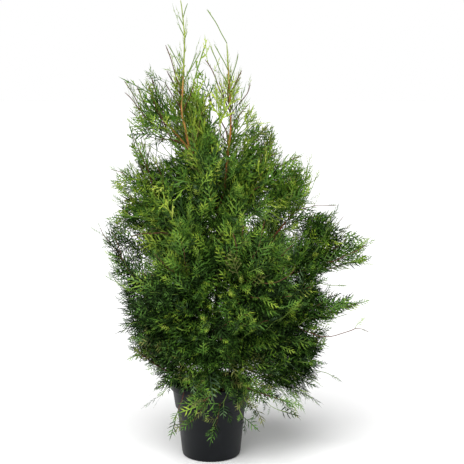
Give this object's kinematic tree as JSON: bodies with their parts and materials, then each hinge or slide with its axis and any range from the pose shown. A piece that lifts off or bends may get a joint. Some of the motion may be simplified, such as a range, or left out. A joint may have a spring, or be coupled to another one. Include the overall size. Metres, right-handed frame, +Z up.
{
  "type": "potted thuja",
  "caption": "Young evergreen thuja with a forked leader, upswept boughs and flat feathery foliage, standing in a round black nursery pot.",
  "frame": {"origin": "centre of the pot's flat underside, on the surface that it stands on", "axes": "+Z up along the pot's axis, +X towards the plant's right seen from the front, -Y towards the front"},
  "size_m": [0.698, 0.465, 1.163],
  "materials": {
    "pot_plastic": "satin",
    "potting_soil": "matte",
    "bark": "matte",
    "young_bark": "matte",
    "foliage_lime": "matte",
    "foliage_fresh": "matte",
    "foliage_green": "matte",
    "foliage_deep": "matte"
  },
  "bodies": {
    "root": {"pot": "pot_plastic", "soil": "potting_soil", "trunk": "bark", "right_leader": "young_bark", "second_stem": "young_bark", "bough_upper_left": "bark", "bough_upper_right": "bark", "bough_left_middle": "bark", "bough_left_lower": "bark", "bough_left_low": "bark", "bough_right_upper": "bark", "bough_right_middle": "bark", "bough_right_lower": "bark", "bough_right_low": "bark", "bough_low_right": "bark", "bough_front_right": "bark", "bough_back_upper": "bark", "bough_back_left": "bark", "bough_back_right": "bark", "bough_back_low_left": "bark", "bough_back_low_right": "bark", "foliage_left_leader_top": "foliage_lime", "foliage_left_leader": "foliage_lime", "foliage_right_leader_top": "foliage_lime", "foliage_right_leader": "foliage_lime", "foliage_upper_left": "foliage_fresh", "foliage_centre_upper": "foliage_fresh", "foliage_upper_right": "foliage_fresh", "foliage_upper_right_inner": "foliage_green", "foliage_front_centre": "foliage_green", "foliage_left_high": "foliage_fresh", "foliage_left_shoulder": "foliage_fresh", "foliage_left_outer": "foliage_green", "foliage_left_inner": "foliage_green", "foliage_right_upper": "foliage_fresh", "foliage_right_outer": "foliage_green", "foliage_right_far": "foliage_fresh", "foliage_right_lower": "foliage_green", "foliage_right_low": "foliage_deep", "foliage_right_droop": "foliage_deep", "foliage_low_right_branch": "foliage_deep", "foliage_front_left_plume": "foliage_lime", "foliage_front_right_plume": "foliage_fresh", "foliage_front_right_fan": "foliage_fresh", "foliage_front_low_right": "foliage_green", "foliage_front_low": "foliage_green", "foliage_front_left_low": "foliage_green", "foliage_left_lower": "foliage_deep", "foliage_left_low": "foliage_deep", "foliage_left_skirt": "foliage_deep", "foliage_front_skirt_left": "foliage_deep", "foliage_front_skirt_right": "foliage_deep", "foliage_back_top": "foliage_fresh", "foliage_back_middle": "foliage_green", "foliage_back_left": "foliage_green", "foliage_back_right": "foliage_green", "foliage_back_low": "foliage_green", "foliage_back_low_left": "foliage_deep", "foliage_back_low_right": "foliage_deep", "foliage_back_skirt": "foliage_deep"}
  },
  "joints": []
}
